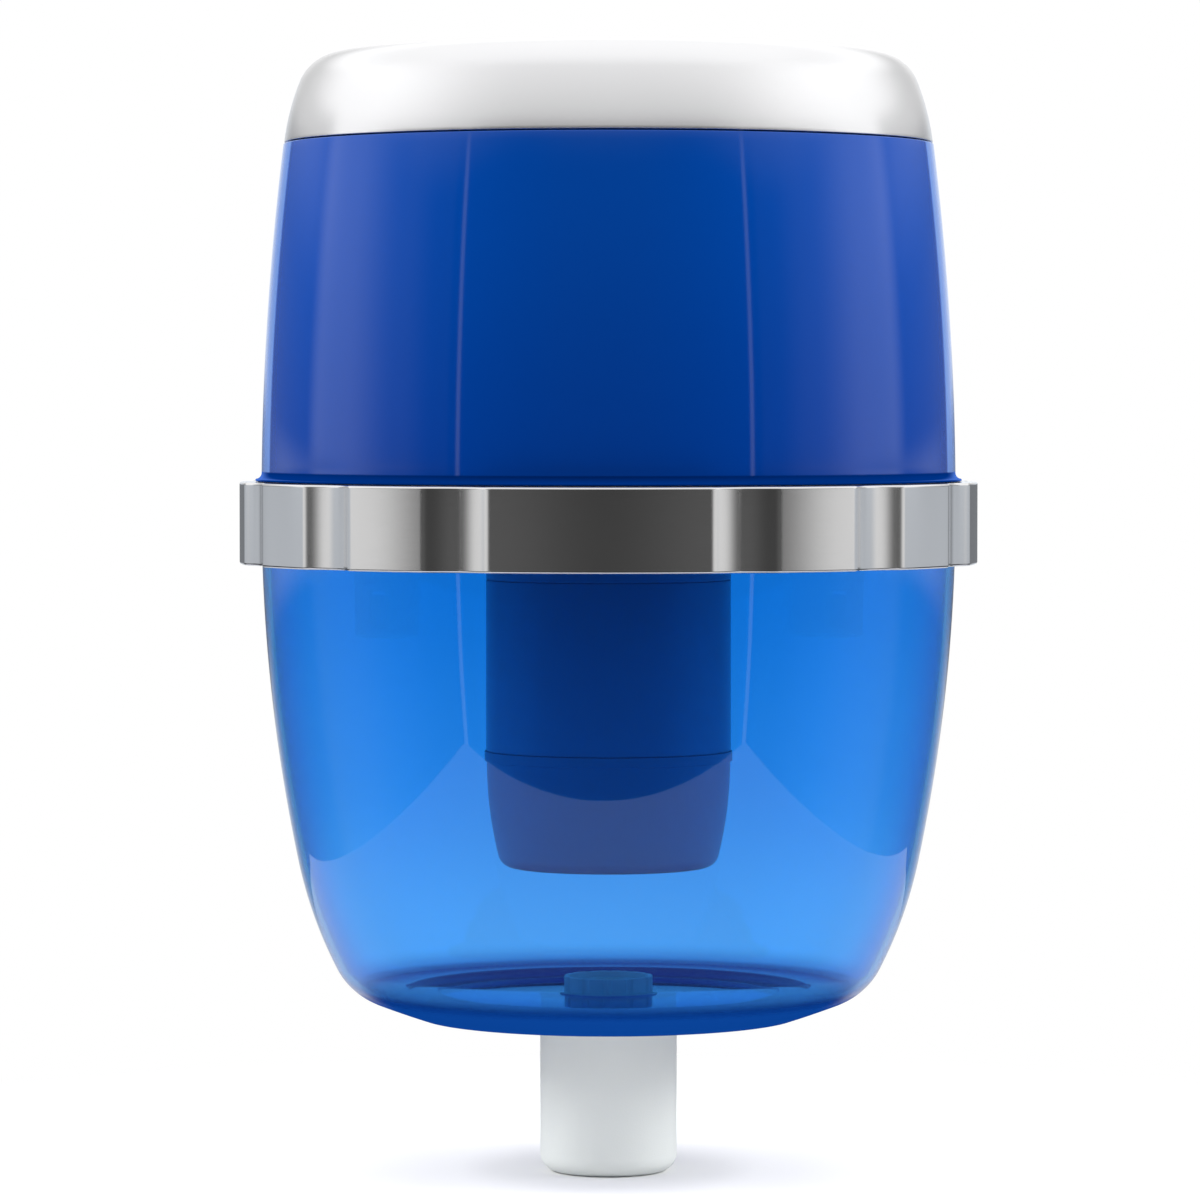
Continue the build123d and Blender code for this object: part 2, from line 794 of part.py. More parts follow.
# Probe grommet: a soft flanged sleeve in the spout's end
sleeve_r = probe_hole_r - grommet_clearance
grommet_flange_r = probe_hole_r + grommet_flange_width
grommet_flange_z = spout_floor_z + grommet_flange_t
probe_grommet = turned(
    [
        (probe_r, spout_low_z + grommet_recess),
        (sleeve_r, spout_low_z + grommet_recess),
        (sleeve_r, spout_floor_z),
        (grommet_flange_r, spout_floor_z),
        (grommet_flange_r, grommet_flange_z),
        (sleeve_r, grommet_flange_z),
        (sleeve_r, grommet_flange_z + grommet_rise),
        (probe_r, grommet_flange_z + grommet_rise),
    ]
)
probe_grommet.part.label = "probe_grommet"
export_step(probe_grommet.part, "parts/probe_grommet.step")

print(f"upper floor {upper_floor_z:.2f}, cartridge bottom {cup_low_z:.2f}, lid top {lid_apex_z:.2f}")
print(f"top pad {carbon_z + carbon_h + pad_t:.2f} below stem end {stem_low_z:.2f}")
print(f"float travel {float_travel:.2f}")
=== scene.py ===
# %% [markdown]
# # A two-tank water filter bottle
# This bottle stands on a water cooler. Water is poured into the deep blue upper tank, seeps through a
# ceramic dome and a hanging cartridge, and gathers in the clear blue lower tank above the spout.
# The frame already holds every piece at its real size, so this lesson only dresses it: it turns
# smooth shells for what shows, gives every piece a finish, and sets up a small photo studio.

# %% Load the frame
from math import atan2, cos, pi, radians, sin, sqrt

import bmesh
import bpy
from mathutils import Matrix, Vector
from mathutils.geometry import intersect_sphere_sphere_2d


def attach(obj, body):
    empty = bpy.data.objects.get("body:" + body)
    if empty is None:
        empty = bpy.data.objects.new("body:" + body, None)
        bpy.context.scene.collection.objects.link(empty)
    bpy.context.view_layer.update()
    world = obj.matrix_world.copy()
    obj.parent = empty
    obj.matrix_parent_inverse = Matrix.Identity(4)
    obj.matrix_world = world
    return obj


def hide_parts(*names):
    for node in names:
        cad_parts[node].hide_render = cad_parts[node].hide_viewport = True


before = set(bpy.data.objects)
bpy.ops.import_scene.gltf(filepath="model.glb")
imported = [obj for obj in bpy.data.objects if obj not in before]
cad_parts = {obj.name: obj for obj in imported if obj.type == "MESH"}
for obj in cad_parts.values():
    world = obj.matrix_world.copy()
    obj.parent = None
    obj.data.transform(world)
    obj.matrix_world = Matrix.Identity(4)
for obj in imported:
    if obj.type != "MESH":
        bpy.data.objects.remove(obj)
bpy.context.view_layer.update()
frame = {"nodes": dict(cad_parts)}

MM = 0.001

# %% [markdown]
# ## Curves of the half section
# Both tanks are bodies of revolution, so each is one half section turned about the upright axis.
# Their sides are long, flat arcs that run into each other without a kink. A Bezier curve could be
# fitted by eye, but arcs that share a direction where they meet are what a mould maker would cut, so
# a side is a chain of stations here: each has a point (radius, height) and the way the curve runs there.


# %% Tangent arcs
def tangent_arcs(start, direction, knots, steps=20):
    """Stations along arcs that leave start in a direction and pass the knots without a kink."""
    stations = [(Vector(start), Vector(direction).normalized())]
    for knot in knots:
        point, along = stations[-1]
        side = Vector((-along.y, along.x))
        chord = Vector(knot) - point
        turn = 2 * atan2(chord.dot(side), chord.dot(along))
        bend = 2 * chord.dot(side) / chord.length_squared
        for step in range(1, steps + 1):
            angle = turn * step / steps
            place = point + along * (sin(angle) / bend) + side * ((1 - cos(angle)) / bend)
            stations.append((place, along * cos(angle) + side * sin(angle)))
    return stations


def points_of(stations, moved_left=0.0):
    """The stations' points, moved to the left of the way the curve runs."""
    return [(p.x - along.y * moved_left, p.y + along.x * moved_left) for p, along in stations]


def cut_above(points, height):
    """The part of a falling curve that lies above a height, ended at that height."""
    kept = [point for point in points if point[1] > height]
    last = Vector(kept[-1])
    after = Vector(points[len(kept)])
    return kept + [tuple(last.lerp(after, (last.y - height) / (last.y - after.y)))]


def arc_hub(start, direction, knot):
    """Centre and radius of the arc that leaves start in a direction and ends at a knot."""
    along = Vector(direction).normalized()
    side = Vector((-along.y, along.x))
    chord = Vector(knot) - Vector(start)
    reach = chord.length_squared / (2 * chord.dot(side))
    return Vector(start) + side * reach, abs(reach)


# %% [markdown]
# ## Turning a piece
# By hand one would draw the half section by extruding a single vertex from corner to corner, spin
# it round the Z axis, and soften the sharp edges with a Bevel modifier. These helpers do just
# that. A section that comes back to its start makes a closed ring, and one that starts and ends on the
# axis makes a cap. Normals are recalculated after the spin, because spinning can turn a shell inside out.
# Holes off the axis are drilled with a Boolean modifier, and the drill is thrown away. A bevel that runs
# into its neighbour leaves doubled points, so these are merged before a piece is handed over.


# %% Draw and round
BEVEL_SEGMENTS = 3
SHARP_ANGLE = radians(28)


def draw_section(outline):
    """Extrude one vertex from point to point of an outline in millimetres, in the plane y = 0."""
    bpy.ops.object.select_all(action="DESELECT")
    bpy.ops.mesh.primitive_plane_add(size=MM, enter_editmode=True)
    bpy.ops.mesh.merge(type="CENTER")
    at = (0.0, 0.0)
    for index, (radius, height) in enumerate(outline):
        if index:
            bpy.ops.mesh.extrude_verts_indiv()
        bpy.ops.transform.translate(value=((radius - at[0]) * MM, 0, (height - at[1]) * MM))
        at = (radius, height)


def soften(piece, rounding):
    """Round every sharp edge of a piece, by a radius in millimetres, with an applied Bevel."""
    bevel = piece.modifiers.new("rounding", "BEVEL")
    bevel.width = rounding * MM
    bevel.segments = BEVEL_SEGMENTS
    bevel.limit_method = "ANGLE"
    bevel.angle_limit = SHARP_ANGLE
    bpy.ops.object.modifier_apply(modifier=bevel.name)


# %% Drill
HOLE_STEPS = 48
DRILL_REACH = 1.0


def drill(piece, holes, low, high):
    """Drill upright holes, each (x, y, radius), through a plate and a little past both its sides."""
    low = low - DRILL_REACH
    high = high + DRILL_REACH
    bpy.ops.object.select_all(action="DESELECT")
    for index, (x, y, radius) in enumerate(holes):
        bpy.ops.mesh.primitive_cylinder_add(
            vertices=HOLE_STEPS,
            radius=radius * MM,
            depth=(high - low) * MM,
            location=(x * MM, y * MM, (low + high) / 2 * MM),
            enter_editmode=index == 0,
        )
    bpy.ops.object.mode_set(mode="OBJECT")
    bit = bpy.context.object
    bpy.context.view_layer.objects.active = piece
    cut = piece.modifiers.new("holes", "BOOLEAN")
    cut.operation = "DIFFERENCE"
    cut.solver = "EXACT"
    cut.object = bit
    bpy.ops.object.modifier_apply(modifier=cut.name)
    bpy.data.objects.remove(bit, do_unlink=True)
    piece.select_set(True)


# %% Hand over
SMOOTH_ANGLE = radians(32)
PIECE_DOUBLES = 0.003 * MM


def hand_over(name, body, nodes):
    """Merge doubled points, name the piece, smooth it, and let it stand for its nodes on its body."""
    piece = bpy.context.object
    piece.name = name
    piece.data.name = name
    bpy.ops.object.mode_set(mode="EDIT")
    bpy.ops.mesh.select_all(action="SELECT")
    bpy.ops.mesh.remove_doubles(threshold=PIECE_DOUBLES)
    bpy.ops.object.mode_set(mode="OBJECT")
    bpy.ops.object.shade_smooth_by_angle(angle=SMOOTH_ANGLE)
    flat = piece.modifiers.new("flat faces stay flat", "WEIGHTED_NORMAL")
    flat.keep_sharp = True
    flat.weight = 100
    bpy.ops.object.modifier_apply(modifier=flat.name)
    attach(piece, body)
    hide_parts(*nodes)
    print(name, len(piece.data.vertices), "vertices")
    return piece


# %% Turn a piece
ROUND_STEPS = 192
SECTION_DOUBLES = 0.001 * MM


def turned(name, outline, body, nodes, rounding, closed=True, holes=()):
    """A round piece, spun from its half section; holes are what drill takes."""
    draw_section(list(outline) + [outline[0]] if closed else outline)
    bpy.ops.mesh.select_all(action="SELECT")
    bpy.ops.mesh.remove_doubles(threshold=SECTION_DOUBLES)
    bpy.ops.mesh.spin(steps=ROUND_STEPS, angle=2 * pi, center=(0, 0, 0), axis=(0, 0, 1))
    bpy.ops.mesh.select_all(action="SELECT")
    bpy.ops.mesh.remove_doubles(threshold=SECTION_DOUBLES)
    bpy.ops.mesh.normals_make_consistent(inside=False)
    bpy.ops.object.mode_set(mode="OBJECT")
    soften(bpy.context.object, rounding)
    if holes:
        drill(bpy.context.object, *holes)
    return hand_over(name, body, nodes)


# %% [markdown]
# ## The lower tank
# The lower tank is a clear blue tub with a round hip, a flat foot ring and a floor that steps down
# to the outlet. Because one looks through it, both faces of the wall matter: the light bends at each.
# A single surface with a Solidify modifier would do for the side, but not for the stepped floor,
# so the whole wall, inside and out, is drawn as one closed section.

# %% Lower tank
WALL = 3.0
BELLY = (138.6, 200.0)
FOOT = (75.9, -2.8)
LOWER_KNOTS = [(124.1, 60.0), (108.9, 17.0), (94.4, 3.9), FOOT]
FOOT_IN_R = 68.0
FOOT_HOLLOW = 1.5
OUTLET_R = 13.3
FLOOR_Z = 4.5
WELL = (68.6, 5.6)
LEDGE = (81.5, 8.4)
RIM_Z = 210.0
FLANGE_R = 141.6
FLANGE_LOW_Z = 204.0

lower_side = tangent_arcs(BELLY, (0, -1), LOWER_KNOTS)
lower_inside = cut_above(points_of(lower_side, -WALL), LEDGE[1])
lower_outline = points_of(lower_side) + [
    (FOOT_IN_R, FOOT[1]),
    (FOOT_IN_R, FOOT_HOLLOW),
    (OUTLET_R, FOOT_HOLLOW),
    (OUTLET_R, FLOOR_Z),
    (WELL[0], FLOOR_Z),
    WELL,
    (LEDGE[0], WELL[1]),
    LEDGE,
]
lower_outline += lower_inside[::-1]
lower_outline += [
    (BELLY[0] - WALL, RIM_Z),
    (FLANGE_R, RIM_Z),
    (FLANGE_R, FLANGE_LOW_Z),
    (BELLY[0], FLANGE_LOW_Z + BELLY[0] - FLANGE_R),
]
lower_shell = turned("lower_tank_shell", lower_outline, "lower", ["lower_tank"], 0.6)

# %% [markdown]
# ## The upper tank
# The upper tank is one long arc from the drip lip above the band to the seam under the lid. A
# spigot below it nests in the lower tank, and a neck above it carries the lid. The arc is part of
# one circle that touches the belly, so its radius follows from the belly and the seam.

# %% Upper tank
SEAM = (129.55, 345.8)
SEAT_Z = 211.8
LIP_R = 141.0
LIP_TOP_Z = 212.6
SPIGOT_R = 135.0
SPIGOT_LOW_Z = 187.8
UPPER_FLOOR_Z = 190.8
STEM_HOLE_R = 15.3
NECK_R = 125.75
NECK_Z = 351.8
INSIDE_LOW_Z = 217.8
INSIDE_HIGH_Z = 337.8
VENT_HOLE = (0.0, 92.0, 7.3)
SIDE_STEPS = 40
COVE_STEPS = 8
side_radius = ((SEAM[1] - BELLY[1]) ** 2 + (BELLY[0] - SEAM[0]) ** 2) / (2 * (BELLY[0] - SEAM[0]))


def upper_radius(height, inset=0.0):
    """Radius of the upper tank's side at a height."""
    return BELLY[0] - side_radius + sqrt(side_radius**2 - (height - BELLY[1]) ** 2) - inset


def side_run(low, high, inset=0.0):
    """Points up the upper tank's side, from one height to another."""
    heights = [low + (high - low) * step / SIDE_STEPS for step in range(SIDE_STEPS + 1)]
    return [(upper_radius(height, inset), height) for height in heights]


cove_top_z = LIP_TOP_Z + LIP_R - BELLY[0]
cove_top = (upper_radius(cove_top_z), cove_top_z)
cove = tangent_arcs((LIP_R, LIP_TOP_Z), (-1, 0), [cove_top], COVE_STEPS)
upper_outline = points_of(cove) + side_run(cove_top_z, SEAM[1])[1:]
upper_outline += [
    (NECK_R, SEAM[1]),
    (NECK_R, NECK_Z),
    (NECK_R - WALL, NECK_Z),
    (NECK_R - WALL, INSIDE_HIGH_Z + upper_radius(INSIDE_HIGH_Z) - NECK_R),
]
upper_outline += side_run(INSIDE_LOW_Z, INSIDE_HIGH_Z, WALL)[::-1]
upper_outline += [
    (SPIGOT_R - WALL, SEAT_Z),
    (SPIGOT_R - WALL, UPPER_FLOOR_Z),
    (STEM_HOLE_R, UPPER_FLOOR_Z),
    (STEM_HOLE_R, SPIGOT_LOW_Z),
    (SPIGOT_R, SPIGOT_LOW_Z),
    (SPIGOT_R, SEAT_Z),
    (LIP_R, SEAT_Z),
]
vent_cut = ([VENT_HOLE], SPIGOT_LOW_Z, UPPER_FLOOR_Z)
upper_shell = turned(
    "upper_tank_shell", upper_outline, "upper", ["upper_tank"], 0.35, holes=vent_cut
)

# %% [markdown]
# ## The lid
# The lid carries the tank's curve on up to a wide, soft shoulder, and its top swells by a few
# millimetres. The shoulder's arc touches the side's circle and the top's circle from inside, so its hub
# lies where both circles, drawn smaller by its radius, cross. The cap is thin: the section goes
# out along its inside, round a rib that stands on the liner, and back up the outside to the axis.

# %% Lid cover
LID_LOW = (129.25, 346.4)
LID_CORNER = (118.05, 381.1)
LID_APEX_Z = 385.1
LID_WALL = 2.0
LID_SHOULDER_R = 18.0
RIB_IN_R = 106.15
RIB_OUT_R = 108.15
RIB_LOW_Z = 354.8
RIB_MARGIN = 1.0

lean = (SEAM[1] - BELLY[1]) / side_radius
lid_way = (-lean, sqrt(1 - lean**2))
side_hub, side_reach = arc_hub(LID_LOW, lid_way, LID_CORNER)
crown_hub, crown_reach = arc_hub((0, LID_APEX_Z), (1, 0), LID_CORNER)
hubs = intersect_sphere_sphere_2d(
    side_hub, side_reach - LID_SHOULDER_R, crown_hub, crown_reach - LID_SHOULDER_R
)
shoulder_hub = max(hubs, key=lambda hub: hub.x)
shoulder_low = side_hub + (shoulder_hub - side_hub).normalized() * side_reach
shoulder_top = crown_hub + (shoulder_hub - crown_hub).normalized() * crown_reach
lid_side = tangent_arcs(LID_LOW, lid_way, [shoulder_low, shoulder_top, (0, LID_APEX_Z)])
lid_outside = points_of(lid_side)[:-1] + [(0.0, LID_APEX_Z)]
lid_inside = points_of(lid_side, LID_WALL)[-2:0:-1]


def crown_inside(radius):
    """Height of the inside of the lid's top at a radius."""
    return crown_hub.y + sqrt((crown_reach - LID_WALL) ** 2 - radius**2)


rib = [
    (RIB_IN_R, crown_inside(RIB_IN_R)),
    (RIB_IN_R, RIB_LOW_Z),
    (RIB_OUT_R, RIB_LOW_Z),
    (RIB_OUT_R, crown_inside(RIB_OUT_R)),
]
lid_outline = [(0.0, LID_APEX_Z - LID_WALL)]
lid_outline += [point for point in lid_inside if point[0] < RIB_IN_R - RIB_MARGIN] + rib
lid_outline += [point for point in lid_inside if point[0] > RIB_OUT_R + RIB_MARGIN]
lid_outline += [(LID_LOW[0] - LID_WALL, LID_LOW[1])] + lid_outside
lid_shell = turned("lid_shell", lid_outline, "lid", ["lid_cover"], 0.4, closed=False)

# %% [markdown]
# ## The trim band
# A steel strip runs round the joint between the tanks. Shallow flutes are pressed into it, with plain
# lands between them and one wide plate at the front. A circle gets enough vertices to draw
# the flutes, each vertex is pushed to its radius, and the loop is extruded round the strip's section until
# a bridge closes it. A press can't fold a sharp corner, so the radius is averaged over a few millimetres of
# the strip. The two outer edges catch the light, so their rounding is drawn as loops of its own.

# %% Rings of any outline
def ring_piece(name, loops, count, body, nodes, rounding):
    """A closed ring: a circle extruded from loop to loop, each a (radius by angle, height) pair."""
    bpy.ops.object.select_all(action="DESELECT")
    bpy.ops.mesh.primitive_circle_add(vertices=count, radius=MM, enter_editmode=True)
    piece = bpy.context.object
    for index, (radius_at, height) in enumerate(loops):
        if index:
            bpy.ops.mesh.extrude_edges_move()
        loop = bmesh.from_edit_mesh(piece.data)
        for vertex in loop.verts:
            if vertex.select:
                angle = atan2(vertex.co.x, -vertex.co.y)
                radius = radius_at(angle) * MM
                vertex.co = (radius * sin(angle), -radius * cos(angle), height * MM)
        bmesh.update_edit_mesh(piece.data)
    bpy.ops.mesh.select_all(action="DESELECT")
    bpy.ops.mesh.select_non_manifold()
    bpy.ops.mesh.bridge_edge_loops()
    bpy.ops.mesh.select_all(action="SELECT")
    bpy.ops.mesh.normals_make_consistent(inside=False)
    bpy.ops.object.mode_set(mode="OBJECT")
    soften(piece, rounding)
    return hand_over(name, body, nodes)


# %% Trim band
BAND_R = 147.28
BAND_LOW_Z = 178.8
BAND_TOP_Z = 211.5
BAND_WALL = 1.5
BAND_LIP_R = 139.0
BAND_EDGE_R = 1.0
PLATE_ANGLE = radians(33.6)
FLUTE_ANGLE = radians(10.2)
FLUTE_COUNT = 14
FLUTE_DEPTH = 3.3
PRESS_REACH = 1.4
PRESS_STEPS = 4
EDGE_STEPS = 5
BAND_VERTICES = 1440

flute_pitch = (2 * pi - PLATE_ANGLE - FLUTE_ANGLE) / (FLUTE_COUNT - 1)
half_chord = BAND_R * sin(FLUTE_ANGLE / 2)
flute_radius = (half_chord**2 + FLUTE_DEPTH**2) / (2 * FLUTE_DEPTH)
flute_centre = BAND_R * cos(FLUTE_ANGLE / 2) - FLUTE_DEPTH + flute_radius


def pressed_radius(angle):
    """Radius of the strip's outside before its corners are eased; angle 0 is the front."""
    from_first = (angle % (2 * pi)) - PLATE_ANGLE / 2 - FLUTE_ANGLE / 2
    nearest = min(max(round(from_first / flute_pitch), 0), FLUTE_COUNT - 1)
    off = from_first - nearest * flute_pitch
    if abs(off) > FLUTE_ANGLE / 2:
        return BAND_R
    return flute_centre * cos(off) - sqrt(flute_radius**2 - (flute_centre * sin(off)) ** 2)


def band_radius(angle):
    """The strip's outside, with its corners eased by an average over the press's reach."""
    steps = range(-PRESS_STEPS, PRESS_STEPS + 1)
    spread = [PRESS_REACH / BAND_R * step / PRESS_STEPS for step in steps]
    return sum(pressed_radius(angle + shift) for shift in spread) / len(spread)


def band_edge(turn, height, side):
    """A loop on the rounded outer edge: the turn runs from 0 on the flat to a quarter on the outside."""
    inset = BAND_EDGE_R * (1 - sin(turn))
    drop = BAND_EDGE_R * (1 - cos(turn))
    return (lambda angle: band_radius(angle) - inset, height - side * drop)


turns = [radians(90 * step / EDGE_STEPS) for step in range(EDGE_STEPS + 1)]
band_loops = [band_edge(turn, BAND_LOW_Z, -1) for turn in turns]
band_loops += [band_edge(turn, BAND_TOP_Z, 1) for turn in reversed(turns)]
band_loops += [
    (lambda angle: BAND_LIP_R, BAND_TOP_Z),
    (lambda angle: BAND_LIP_R, RIM_Z),
    (lambda angle: band_radius(angle) - BAND_WALL, RIM_Z),
    (lambda angle: band_radius(angle) - BAND_WALL, BAND_LOW_Z),
]
band = ring_piece("band_strip", band_loops, BAND_VERTICES, "lower", ["trim_band"], 0.15)

# %% [markdown]
# ## Cartridge, spout and nut
# The cartridge hangs from the upper tank's floor: a cap, a straight tube with a collar, and a cup that
# tapers to a drilled bottom. The spout is a closed tube with a soft edge, held by a ring nut.

# %% Cartridge tube and cap
TUBE_R = 49.0
TUBE_BORE_R = 46.3
CAP_TOP_Z = 186.3
CAP_LOW_Z = 172.3
COLLAR_TOP_Z = 103.9
JOINT_R = 46.0
JOINT_IN_R = 43.7
JOINT_LENGTH = 6.0
HUB_R = 20.0
HUB_LOW_Z = 174.3
CAP_PLATE = 4.0

tube_outline = [
    (TUBE_BORE_R, COLLAR_TOP_Z),
    (TUBE_R, COLLAR_TOP_Z),
    (TUBE_R, CAP_LOW_Z),
    (TUBE_BORE_R, CAP_LOW_Z),
]
tube = turned("cartridge_tube", tube_outline, "upper", ["cartridge_body"], 0.4)
cap_outline = [
    (STEM_HOLE_R, HUB_LOW_Z),
    (HUB_R, HUB_LOW_Z),
    (HUB_R, CAP_TOP_Z - CAP_PLATE),
    (JOINT_IN_R, CAP_TOP_Z - CAP_PLATE),
    (JOINT_IN_R, CAP_LOW_Z - JOINT_LENGTH),
    (JOINT_R, CAP_LOW_Z - JOINT_LENGTH),
    (JOINT_R, CAP_LOW_Z),
    (TUBE_R, CAP_LOW_Z),
    (TUBE_R, CAP_TOP_Z),
    (STEM_HOLE_R, CAP_TOP_Z),
]
cap = turned("cartridge_head", cap_outline, "upper", ["cartridge_cap"], 0.6)

# %% [markdown]
# The cup's side is one arc that leans in towards the bottom. Its rounded lower edge touches that arc from
# inside, so the edge's hub lies on a smaller circle about the same centre.

# %% Cartridge cup
COLLAR_LOW_Z = 99.9
COLLAR_R = 49.6
CUP_TOP_R = 48.75
CUP_END = (42.9, 57.3)
CUP_WALL = 2.5
CUP_EDGE_R = 6.0
CUP_FLOOR_Z = 59.8
OUTLET_HOLE_R = 2.0
OUTLET_RINGS = [(0.0, 1), (13.0, 8), (25.0, 16)]

cup_top = (CUP_TOP_R, COLLAR_LOW_Z)
cup_hub, cup_reach = arc_hub(cup_top, (0, -1), CUP_END)
edge_hub_z = CUP_END[1] + CUP_EDGE_R
edge_hub_in = sqrt((cup_reach - CUP_EDGE_R) ** 2 - (edge_hub_z - cup_hub.y) ** 2)
edge_hub = Vector((cup_hub.x + edge_hub_in, edge_hub_z))
edge_top = cup_hub + (edge_hub - cup_hub).normalized() * cup_reach
cup_side = tangent_arcs(cup_top, (0, -1), [CUP_END])
cup_inside = cut_above(points_of(cup_side, -CUP_WALL), CUP_FLOOR_Z)
cup_outline = [(0.0, CUP_FLOOR_Z)] + cup_inside[::-1]
cup_outline += [
    (JOINT_IN_R, COLLAR_LOW_Z),
    (JOINT_IN_R, COLLAR_TOP_Z + JOINT_LENGTH),
    (JOINT_R, COLLAR_TOP_Z + JOINT_LENGTH),
    (JOINT_R, COLLAR_TOP_Z),
    (COLLAR_R, COLLAR_TOP_Z),
    (COLLAR_R, COLLAR_LOW_Z),
]
cup_outline += points_of(tangent_arcs(cup_top, (0, -1), [edge_top, (edge_hub.x, CUP_END[1])]))
cup_outline += [(0.0, CUP_END[1])]
outlets = [
    (ring_r * cos(2 * pi * step / count), ring_r * sin(2 * pi * step / count), OUTLET_HOLE_R)
    for ring_r, count in OUTLET_RINGS
    for step in range(count)
]
outlet_cut = (outlets, CUP_END[1], CUP_FLOOR_Z)
cup = turned(
    "cartridge_foot",
    cup_outline,
    "upper",
    ["cartridge_cup"],
    0.3,
    closed=False,
    holes=outlet_cut,
)

# %% Spout
SPOUT_R = 27.4
SPOUT_TOP_Z = 0.5
SPOUT_LOW_Z = -65.0
SPOUT_WALL = 3.2
SPOUT_EDGE_R = 7.0
SPOUT_PLATE = 4.5
SPOUT_FLOOR_Z = -61.5
PROBE_HOLE_R = 12.0
STEM_R = 13.0
STEM_BORE_R = 9.5
STEM_TOP_Z = 11.5
SPOUT_EDGE_STEPS = 10

edge = tangent_arcs(
    (SPOUT_R, SPOUT_LOW_Z + SPOUT_EDGE_R),
    (0, -1),
    [(SPOUT_R - SPOUT_EDGE_R, SPOUT_LOW_Z)],
    SPOUT_EDGE_STEPS,
)
inner_r = SPOUT_R - SPOUT_WALL
inner_edge_r = SPOUT_EDGE_R - SPOUT_WALL
inner_edge = tangent_arcs(
    (inner_r - inner_edge_r, SPOUT_FLOOR_Z),
    (1, 0),
    [(inner_r, SPOUT_FLOOR_Z + inner_edge_r)],
    SPOUT_EDGE_STEPS,
)
spout_outline = [(SPOUT_R, SPOUT_TOP_Z)] + points_of(edge)
spout_outline += [
    (PROBE_HOLE_R, SPOUT_LOW_Z),
    (PROBE_HOLE_R, SPOUT_FLOOR_Z),
]
spout_outline += points_of(inner_edge) + [
    (inner_r, SPOUT_TOP_Z - SPOUT_PLATE),
    (STEM_BORE_R, SPOUT_TOP_Z - SPOUT_PLATE),
    (STEM_BORE_R, STEM_TOP_Z),
    (STEM_R, STEM_TOP_Z),
    (STEM_R, SPOUT_TOP_Z),
]
spout = turned("spout_tube", spout_outline, "lower", ["spout"], 0.5)

# %% Ring nut
NUT_R = 17.75
NUT_LOW_Z = 6.0
NUT_TOP_Z = 13.5
NUT_RIM = 2.0
NUT_HOLLOW = 2.5
NUT_GROOVES = 12
NUT_VERTICES = 360
GROOVE_WIDTH = 3.0
GROOVE_DEPTH = 0.8
GROOVE_SQUARENESS = 4


def nut_radius(angle):
    """Radius of the nut's outside, with finger grooves."""
    pitch = 2 * pi / NUT_GROOVES
    off = abs((angle + pitch / 2) % pitch - pitch / 2) * NUT_R
    return NUT_R - GROOVE_DEPTH * max(0.0, 1 - (2 * off / GROOVE_WIDTH) ** GROOVE_SQUARENESS)


nut_loops = [
    (nut_radius, NUT_LOW_Z),
    (nut_radius, NUT_TOP_Z),
    (lambda angle: NUT_R - NUT_RIM, NUT_TOP_Z),
    (lambda angle: NUT_R - NUT_RIM, NUT_TOP_Z - NUT_HOLLOW),
    (lambda angle: OUTLET_R, NUT_TOP_Z - NUT_HOLLOW),
    (lambda angle: OUTLET_R, NUT_LOW_Z),
]
nut = ring_piece("spout_ring_nut", nut_loops, NUT_VERTICES, "lower", ["spout_nut"], 0.2)

# %% [markdown]
# ## Finishes
# Shader maths reads best as sums and products, so a small class wraps a socket and adds the Math nodes
# behind the operators. Any other node comes from one method that takes its type, its settings and
# what its sockets get.


# %% Shader maths
def rgb(red, green, blue):
    """A colour given as a screen shows it, 0 to 255, as the linear values that a shader takes."""
    parts = [value / 255 for value in (red, green, blue)]
    return (*[p / 12.92 if p <= 0.04045 else ((p + 0.055) / 1.055) ** 2.4 for p in parts], 1.0)


class Number:
    """A socket that holds a number. Sums and products of it add Math nodes."""

    def __init__(self, nodes, socket):
        self.nodes = nodes
        self.socket = socket

    def maths(self, operation, *values):
        node = self.nodes.add("ShaderNodeMath", {"operation": operation}, dict(enumerate(values)))
        return Number(self.nodes, node.outputs[0])

    def __add__(self, other):
        return self.maths("ADD", self, other)

    def __radd__(self, other):
        return self.maths("ADD", other, self)

    def __sub__(self, other):
        return self.maths("SUBTRACT", self, other)

    def __rsub__(self, other):
        return self.maths("SUBTRACT", other, self)

    def __mul__(self, other):
        return self.maths("MULTIPLY", self, other)

    def __rmul__(self, other):
        return self.maths("MULTIPLY", other, self)

    def __abs__(self):
        return self.maths("ABSOLUTE", self)

    def largest(self, other):
        return self.maths("MAXIMUM", self, other)

    def ramp(self, low, high, smooth=True):
        """0 below low, 1 above high, and a smooth or straight rise between them."""
        style = "SMOOTHSTEP" if smooth else "LINEAR"
        sockets = {"Value": self, "From Min": low, "From Max": high}
        node = self.nodes.add("ShaderNodeMapRange", {"interpolation_type": style}, sockets)
        return Number(self.nodes, node.outputs["Result"])


